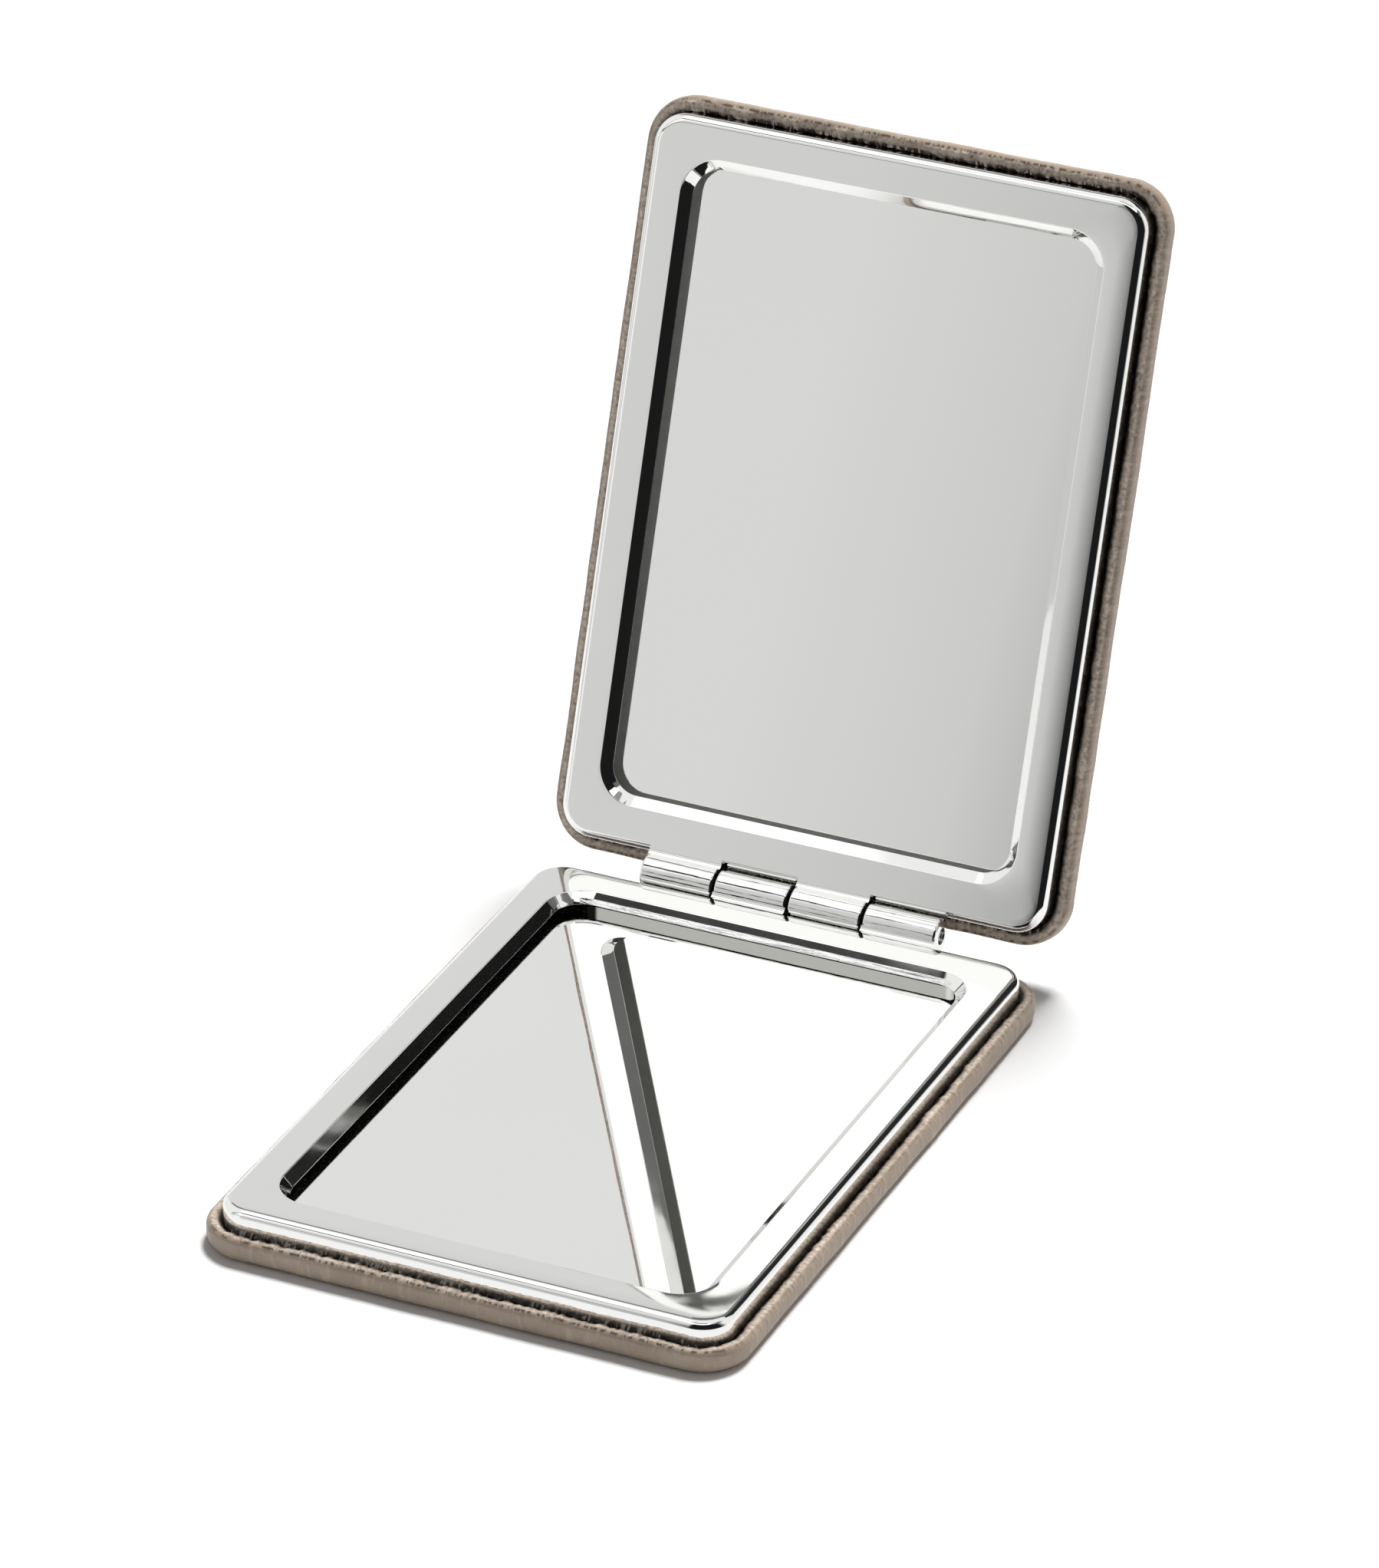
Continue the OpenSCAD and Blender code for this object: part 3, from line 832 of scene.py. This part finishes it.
fade_to_right = [(76, 0.012), (80, 0.06), (85, 0.25), (90, 0.6), (96, 0.98)]
card("front_left_card", (-64, -12), (-2, 51.5),
     [(-64, 0.52), (-60, 0.62), (-55, 0.82), (-50, 0.95), (-45, 1.09), (-37, 1.10), (-33, 0.95),
      (-30, 0.75), (-23, 0.74), (-20, 0.66), (-15, 0.12), (-12, 0.02)],
     [(-2, 1), (17.5, 1), (18.5, 0.25), (21.5, 0.25), (22.5, 1), (31, 1.08), (51.5, 1.15)])
card("front_left_gap", (-60, -35), (51.5, 58.3),
     [(-60, 0.3), (-54, 0.05), (-38, 0.05), (-35, 0.9)])
card("front_black", (-12, 96), (-2, 57.5), [(-12, 0.012)] + fade_to_right)
card("right_black", (44, 96), (-10, 12), [(44, 0.012)] + fade_to_right, reach=0.45)
card("right_shade", (62, 112), (49, 61.5), [(62, 0.02), (66, 0.16), (104, 0.2), (112, 0.4)],
     reach=0.98)
card("back_right_black", (143, 190), (-1, 52),
     [(143, 0.15), (146, 0.02), (166, 0.03), (176, 0.12), (190, 0.3)])
card("back_left_card", (-170, -128), (15, 35), [(-170, 0.78), (-128, 0.84)],
     [(15, 1.0), (32, 1.0), (35, 0.9)])
card("back_left_gap", (-170, -128), (35, 56), [(-170, 0.2), (-150, 0.2), (-128, 0.3)],
     [(35, 0.8), (44, 1.0), (50, 2.4), (56, 4.0)])
card("ceiling", (-134, 70), (58.6, 70), [(-134, 1.4), (70, 1.45)])
card("overhead_shade", (-58, 60), (70, 80), [(-58, 0.3), (60, 0.35)])
card("left_table_shade", (-142, -66), (-5, -1.6),
     [(-142, 0.8), (-136, 0.72), (-76, 0.72), (-66, 0.8)])

# Surroundings: white to look at and in reflections, and a weak even fill light on all
# else.
fill_light = 0.22
world = bpy.data.worlds.new("studio")
bpy.context.scene.world = world
world.use_nodes = True
sky = world.node_tree.nodes["Background"]
sky_seen = seen_by(world.node_tree, ("Is Camera Ray", "Is Glossy Ray", "Is Transmission Ray"))
strength = add(world.node_tree, "MapRange", [("Value", sky_seen)], To_Min=fill_light, To_Max=1.0)
world.node_tree.links.new(strength.outputs["Result"], sky.inputs["Strength"])
sky.inputs["Color"].default_value = (1, 1, 1, 1)

bpy.context.scene.view_settings.view_transform = "Standard"
